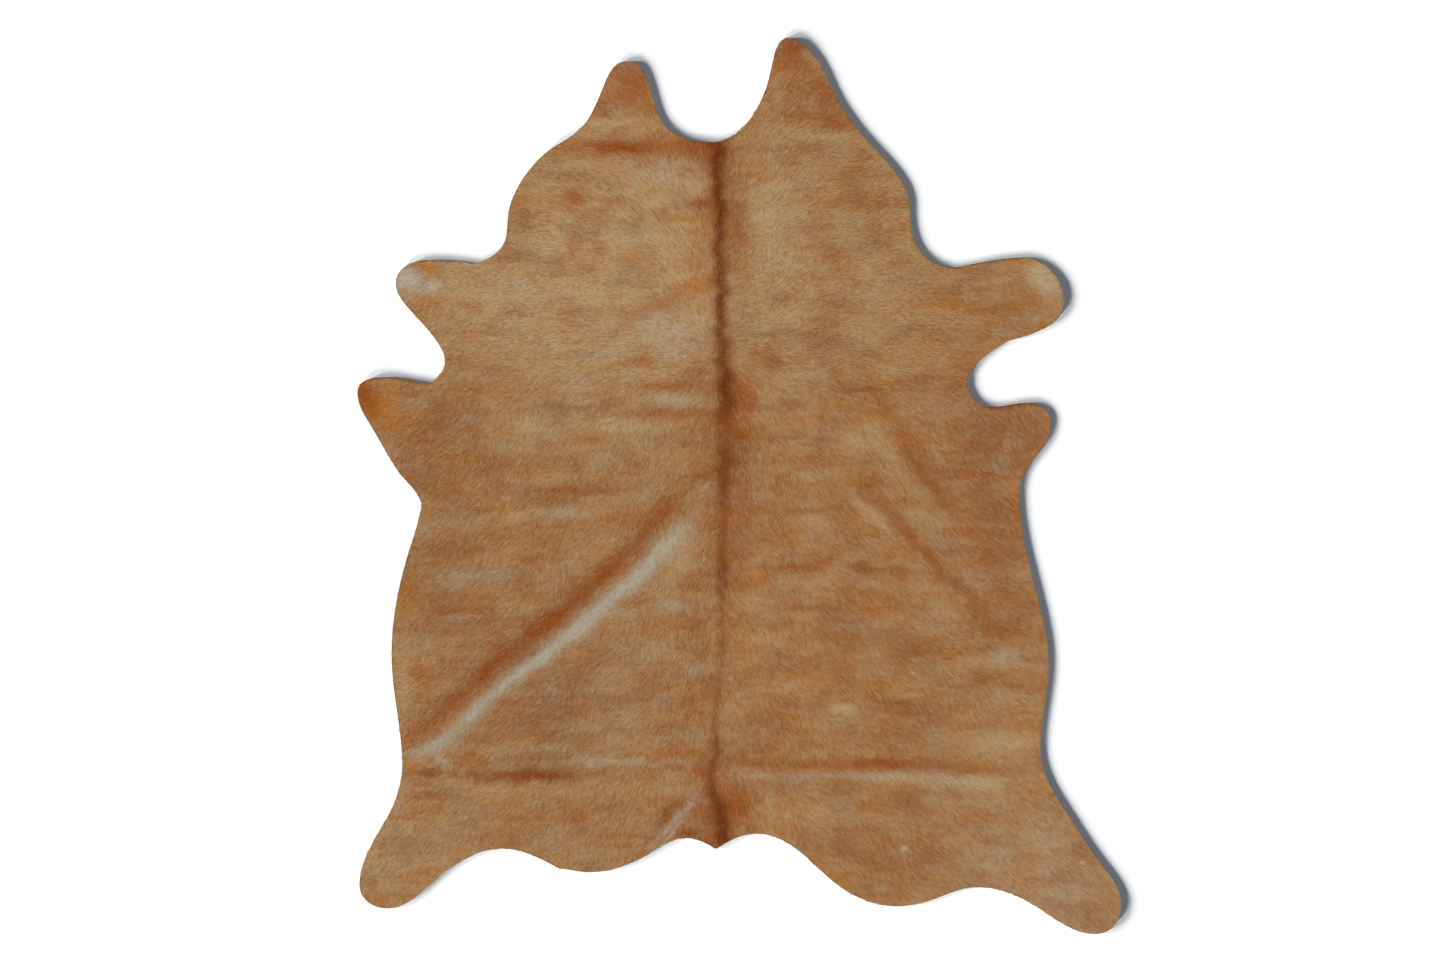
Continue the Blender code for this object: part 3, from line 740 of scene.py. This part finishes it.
def staggered(low, high, step):
    """Places over a box in rows that are staggered, all a step apart."""
    row_step = step * math.sqrt(3) / 2
    column, row = np.meshgrid(np.arange((high[0] - low[0]) / step), np.arange((high[1] - low[1]) / row_step))
    column, row = column.ravel(), row.ravel()
    return np.column_stack((low[0] + step * (column + 0.5 * (row % 2)), low[1] + row_step * row))


def skin(edge, depth):
    """The leather: the top of the sheet inside the cut edge, its underside and the rim between them."""
    low, high = edge.min(axis=0), edge.max(axis=0)
    inner = staggered(low, high, SHEET_STEP)
    inner = inner[depth.at(*inner.T) > CLEAR_OF_EDGE * SHEET_STEP]
    flat = np.concatenate((edge, inner))
    around = np.arange(len(edge))
    ring = np.column_stack((around, np.roll(around, -1)))
    sheet = delaunay_2d_cdt([Vector(place) for place in flat], ring.tolist(), [], 0, MERGE, False)
    places, triangles = np.array(sheet[0]), np.array(sheet[2])
    # none bridges a hollow of the edge
    triangles = triangles[is_inside(*places[triangles].mean(axis=1).T, edge)]
    side_a, side_b = (places[triangles[:, corner]] - places[triangles[:, 0]] for corner in (1, 2))
    turned = side_a[:, 0] * side_b[:, 1] - side_a[:, 1] * side_b[:, 0] < 0
    triangles[turned] = triangles[turned][:, ::-1]

    count = len(places)
    x, y = places.T
    under = LOW.z + lie(x, y, depth)
    points = np.column_stack((np.tile(places + DATUM, (2, 1)), np.concatenate((under + LEATHER, under))))
    start, end = ring.T  # clockwise
    upper_rim = np.column_stack((start, end, start + count))
    lower_rim = np.column_stack((end, end + count, start + count))
    faces = np.concatenate((triangles, triangles[:, ::-1] + count, upper_rim, lower_rim))
    piece = object_from("hide_leather", points, faces, [hair_side(), flesh_side()])
    flesh = np.arange(len(faces)) >= len(triangles)
    piece.data.polygons.foreach_set("material_index", flesh.astype(np.int32))
    note_coat(piece, np.tile(x, 2), np.tile(y, 2))

    # the top fills the left half of the picture, the underside the right half, and the rim a strip above them
    flat = (places - low) / (high - low) * PICTURE_SHARE
    halves = np.concatenate((flat * (0.5, 1.0), flat * (0.5, 1.0) + (0.5, 0.0)))[faces]
    part = around / len(edge)
    after = part + 1 / len(edge)
    for first, corners in (
        (2 * len(triangles), ((part, 1.0), (after, 1.0), (part, RIM_SHARE))),
        (2 * len(triangles) + len(edge), ((after, 1.0), (after, RIM_SHARE), (part, RIM_SHARE))),
    ):
        for corner, (along, up) in enumerate(corners):
            halves[first : first + len(edge), corner] = np.column_stack((along, np.full(len(edge), up)))
    unwrap(piece, halves)
    return piece


def in_disc(draw, count):
    """Random places in a circle of radius 1."""
    heading, reach = draw.uniform(0.0, math.tau, count), np.sqrt(draw.uniform(0.0, 1.0, count))
    return np.column_stack((np.cos(heading), np.sin(heading))) * reach[:, None]


def locks(edge, depth, draw):
    """The locks of the coat: their roots, tips and half widths on the hide, how far their tips stand off the
    leather, and how pale each one is beside the rest."""
    clumps = staggered(edge.min(axis=0), edge.max(axis=0), CLUMP_STEP)
    clumps = clumps + CLUMP_STEP * CLUMP_STRAY * in_disc(draw, len(clumps))
    clumps = clumps[depth.at(*clumps.T) > ROOM_AT_EDGE]
    count = len(clumps)
    x, y = clumps.T
    wander = SWAY * waves(x, y, "sway") + TUFT_SWAY * waves(x, y, "tuft")
    heading = stream(x, y) + np.radians(wander + CLUMP_SWAY * draw.standard_normal(count))
    way = np.column_stack((np.where(x < 0, -1.0, 1.0) * np.cos(heading), np.sin(heading)))
    length = draw.uniform(*LOCK_LENGTH, count)

    tones = draw.standard_normal(count)
    clumps, way, length, tones = (np.repeat(values, LOCKS, axis=0) for values in (clumps, way, length, tones))
    count = len(clumps)
    tones = CLUMP_TONE * tones + (1.0 - CLUMP_TONE**2) ** 0.5 * draw.standard_normal(count)
    mane = np.radians(MANE_SWAY) * draw.standard_normal(count) * bell(clumps[:, 0] / MANE_REACH)
    way = np.column_stack((
        way[:, 0] * np.cos(mane) - way[:, 1] * np.sin(mane),
        way[:, 0] * np.sin(mane) + way[:, 1] * np.cos(mane),
    ))
    off = LOCK_SPREAD * in_disc(draw, count)
    roots = clumps + off
    roots = np.where((depth.at(*roots.T) > ROOM_AT_EDGE)[:, None], roots, clumps)
    reach = way * (length * draw.uniform(*LOCK_SHARE, count))[:, None]
    reach = reach + LOCK_GATHER * LOCK_SPREAD * in_disc(draw, count) - (1.0 - LOCK_GATHER) * off
    overhang = OVERHANG * draw.uniform(0.0, 1.0, count) ** 2
    for shorter in SHORTER:
        past = depth.at(*(roots + reach).T) < -overhang
        reach[past] *= shorter
    fits = depth.at(*(roots + reach).T) >= -overhang
    roots, reach, tones = roots[fits], reach[fits], tones[fits]
    count = len(roots)
    half_widths, heights = draw.uniform(*LOCK_WIDTH, count) / 2, draw.uniform(*LOCK_HEIGHT, count)
    return roots, roots + reach, half_widths, heights, tones


def coat_piece(name, depth, roots, tips, half_widths, heights, tones):
    """One part of the coat: each lock is a blade of two faces, lower at its sides than along its middle."""
    middles = roots + WIDEST_AT * (tips - roots)
    way = tips - roots
    way /= np.linalg.norm(way, axis=1)[:, None]
    side = np.column_stack((-way[:, 1], way[:, 0])) * half_widths[:, None]
    ground = [lie(*places.T, depth) for places in (roots, middles, tips)]
    sunk = np.maximum(ground[1] - (1 - WIDEST_AT) * ground[0] - WIDEST_AT * ground[2], 0.0)  # over a ridge
    base = LOW.z + LEATHER
    root_height = base + ground[0] + sunk + ROOT_HEIGHT
    tip_height = base + ground[2] + sunk + heights
    side_height = root_height + WIDEST_AT * (tip_height - root_height) - LOCK_DROP
    corners = np.stack((
        np.column_stack((roots + DATUM, root_height)),
        np.column_stack((middles + side + DATUM, side_height)),
        np.column_stack((tips + DATUM, tip_height)),
        np.column_stack((middles - side + DATUM, side_height)),
    ), axis=1)
    first = 4 * np.arange(len(roots))
    left = np.column_stack((first, first + 2, first + 1))
    right = np.column_stack((first, first + 3, first + 2))
    faces = np.stack((left, right), axis=1).reshape(-1, 3)
    piece = object_from(name, corners.reshape(-1, 3), faces, [hair()])
    root_at, side_at, tip_at = (roots + share * (tips - roots) for share in COLOUR_FROM)
    note_coat(piece, *np.stack((root_at, side_at, tip_at, side_at), axis=1).reshape(-1, 2).T)
    note(piece, "tone", "FLOAT", np.repeat(tones, 4))
    note(piece, "along", "FLOAT", np.tile((0.0, WIDEST_AT, 1.0, WIDEST_AT), len(roots)))
    flat = corners[:, :, :2].reshape(-1, 2)
    unwrap(piece, ((flat - flat.min(axis=0)) / np.ptp(flat, axis=0))[faces.ravel()])
    return piece


def coat(edge, depth):
    """The coat in parts of like size: a left and a right one for each band across the hide."""
    draw = np.random.default_rng(SEED)
    coat_values = locks(edge, depth, draw)
    roots = coat_values[0]
    left = roots[:, 0] < np.median(roots[:, 0])
    pieces = []
    for side, here in (("left", left), ("right", ~left)):
        ends = np.quantile(roots[here, 1], np.arange(1, len(BANDS)) / len(BANDS))
        band = np.searchsorted(ends, roots[:, 1])
        for number, place in enumerate(BANDS):
            there = here & (band == number)
            parts = [values[there] for values in coat_values]
            pieces.append(coat_piece(f"coat_{side}_{place}", depth, *parts))
    return pieces


def add(tree, kind, settings=(), **inputs):
    """A node with its settings and inputs. An input is a value or another node's output."""
    node = tree.nodes.new("ShaderNode" + kind)
    for name, value in dict(settings).items():
        setattr(node, name, value)
    for name, value in inputs.items():
        socket = node.inputs[int(name[1:])] if name[1:].isdigit() else node.inputs[name.replace("_", " ")]
        if isinstance(value, bpy.types.NodeSocket):
            tree.links.new(value, socket)
        else:
            socket.default_value = value
    return node


def noted(tree, name, output):
    """A value that a mesh keeps for each of its points."""
    return add(tree, "Attribute", {"attribute_name": name}).outputs[output]


def noise(tree, where, stretch, detail=3.0, roughness=0.5):
    """Even noise from 0 to 1 over the hide, with so many lumps to the metre along x, y and z."""
    scaled = add(tree, "Mapping", Vector=where, Scale=stretch).outputs[0]
    return add(tree, "TexNoise", Vector=scaled, Scale=1.0, Detail=detail, Roughness=roughness).outputs[0]


def ranged(tree, value, low, high, to_low, to_high):
    """A value carried from one range to another, smoothly."""
    settings = {"interpolation_type": "SMOOTHSTEP"}
    inputs = {"Value": value, "From_Min": low, "From_Max": high, "To_Min": to_low, "To_Max": to_high}
    return add(tree, "MapRange", settings, **inputs).outputs[0]


def times(tree, first, second):
    """The product of two values."""
    return add(tree, "Math", {"operation": "MULTIPLY"}, _0=first, _1=second).outputs[0]


def blend_of(tree, colour, other, amount):
    """A colour with some of another over it."""
    settings = {"data_type": "RGBA", "blend_type": "MIX"}
    return add(tree, "Mix", settings, _0=amount, _6=colour, _7=(*linear(COLOURS[other]), 1.0)).outputs[2]


def material_of(name, **values):
    """A new material, its nodes, and its shader with these values on its sockets."""
    material = bpy.data.materials.new(name)
    material.use_nodes = True
    shader = material.node_tree.nodes["Principled BSDF"]
    for socket, value in values.items():
        shader.inputs[socket.replace("_", " ")].default_value = value
    return material, material.node_tree, shader


def coat_on(name, darker):
    """The coat's material: the coat's colour, mottled, with each lock's own tone, darker at the root than at
    the tip, partly as painted shade; darker scales it all, for the painted shade on the leather between the
    hairs."""
    material, tree, shader = material_of(name, Specular_IOR_Level=HAIR_SHINE, Specular_Tint=SHINE_TINT)
    place = noted(tree, "place", "Vector")
    colour = noted(tree, "coat", "Color")
    plain = noted(tree, "coat", "Alpha")
    for mottle in MOTTLES:
        moved = add(tree, "Mapping", Vector=place, Location=(*mottle.start, 0.0)).outputs[0]
        pattern = noise(tree, moved, (*mottle.lumps, 1.0), mottle.detail, mottle.roughness)
        for level, other, most in ((mottle.low, *mottle.darker), (mottle.high, *mottle.paler)):
            amount = ranged(tree, pattern, MIDDLE, level, 0.0, most)
            colour = blend_of(tree, colour, other, times(tree, plain, amount))
    tone = noted(tree, "tone", "Fac")
    mixed = ranged(tree, plain, 0.0, PLAIN_FROM, LEAST_MIXED, 1.0)
    for reach, (other, most) in ((-TONE_REACH, DARK_LOCK), (TONE_REACH, PALE_LOCK)):
        amount = ranged(tree, tone, 0.0, reach, 0.0, most)
        colour = blend_of(tree, colour, other, times(tree, mixed, amount))
    root, tip = ROOT_TO_TIP
    along = ranged(tree, noted(tree, "along", "Fac"), 0.0, 1.0, root * darker, tip * darker)
    colour = add(tree, "HueSaturation", Color=colour, Value=along).outputs[0]
    tree.links.new(colour, shader.inputs["Base Color"])
    fleck = pattern  # the last and finest
    tree.links.new(ranged(tree, fleck, *NOISE_RANGE, *HAIR_ROUGHNESS), shader.inputs["Roughness"])
    return material


def hair():
    """The lying hair. All parts of the coat share one material."""
    return bpy.data.materials.get("hair") or coat_on("hair", 1.0)


def hair_side():
    """The leather between the hairs, darkened with painted shade for the shade of the locks over it."""
    return coat_on("hair_side", IN_SHADE)


def flesh_side():
    """The bare underside and cut rim: pale suede with a short nap and faint blotches."""
    material, tree, shader = material_of("flesh_side", Sheen_Weight=0.2, Specular_IOR_Level=0.2)
    where = add(tree, "TexCoord").outputs["Object"]
    blotch = noise(tree, where, [SUEDE_BLOTCHES] * 3, detail=4.0)
    nap = noise(tree, where, [SUEDE_NAP] * 3, detail=2.0)
    colour = add(tree, "ValToRGB", Fac=blotch)
    for stop, share, name in zip(colour.color_ramp.elements, SUEDE_STOPS, ("suede", "pale suede")):
        stop.position = share
        stop.color = (*linear(COLOURS[name]), 1.0)
    tree.links.new(colour.outputs[0], shader.inputs["Base Color"])
    tree.links.new(ranged(tree, nap, *NOISE_RANGE, *SUEDE_ROUGHNESS), shader.inputs["Roughness"])
    bump = add(tree, "Bump", Height=nap, Strength=0.5, Distance=NAP_HEIGHT)
    tree.links.new(bump.outputs[0], shader.inputs["Normal"])
    return material


def floor():
    """A plain white floor."""
    bpy.ops.mesh.primitive_plane_add(size=FLOOR_SIZE, location=(0.0, 0.0, LOW.z - FLOOR_GAP))
    plane = bpy.context.object
    plane.name = "floor"
    white = material_of("floor_white", Base_Color=FLOOR_WHITE, Roughness=1.0, Specular_IOR_Level=0.0)[0]
    plane.data.materials.append(white)
    return plane


def sun(light, lit, shading):
    """A sun that lights only the given objects, in the shade of the others. It shines from its azimuth, 0 to
    the right and 90 forwards."""
    data = bpy.data.lights.new(light.place, "SUN")
    data.energy = light.strength
    data.angle = math.radians(light.softness)
    data.color = light.colour
    lamp = bpy.data.objects.new(light.place, data)
    turn, rise = math.radians(light.azimuth), math.radians(light.elevation)
    towards = Vector((math.cos(rise) * math.cos(turn), math.cos(rise) * math.sin(turn), math.sin(rise)))
    lamp.rotation_euler = towards.to_track_quat("Z", "Y").to_euler()
    lamp.location = LAMP_AWAY * towards
    bpy.context.scene.collection.objects.link(lamp)
    for role, pieces in (("receiver", lit), ("blocker", shading)):
        group = bpy.data.collections.new(f"{light.place}_{role}s")
        for piece in pieces:
            group.objects.link(piece)
        setattr(lamp.light_linking, role + "_collection", group)


def camera():
    """Straight above the hide, as in the photograph."""
    data = bpy.data.cameras.new("camera")
    data.sensor_width = SENSOR
    data.lens = SENSOR * CAMERA_HEIGHT / FRAME_WIDTH
    data.clip_end = FARTHEST_SEEN
    eye = bpy.data.objects.new("camera", data)
    eye.location = (*CAMERA_OVER, CAMERA_HEIGHT)
    bpy.context.scene.collection.objects.link(eye)
    bpy.context.scene.camera = eye


def studio(leather, tufts):
    """The floor, the light on the hide, and the low lights that lay its shadow on the floor."""
    ground = floor()
    hide = [leather, *tufts]
    for light in LIGHTS:
        if light.on == "hide":
            sun(light, hide, hide)
        else:
            sun(light, [ground], [leather])
    world = bpy.data.worlds.new("world")
    world.use_nodes = True
    background = world.node_tree.nodes["Background"]
    background.inputs["Color"].default_value = (*AMBIENT, 1.0)
    background.inputs["Strength"].default_value = AMBIENT_STRENGTH
    bpy.context.scene.world = world
    bpy.context.scene.view_settings.view_transform = "Standard"


edge = rounded(cut_edge(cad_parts["hide"]), EDGE_STEPS)
depth = Depth(edge)
leather = skin(edge, depth)
tufts = coat(edge, depth)
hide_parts("hide")
for piece in [leather, *tufts]:
    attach(piece, "root")
camera()
studio(leather, tufts)

bpy.context.view_layer.update()
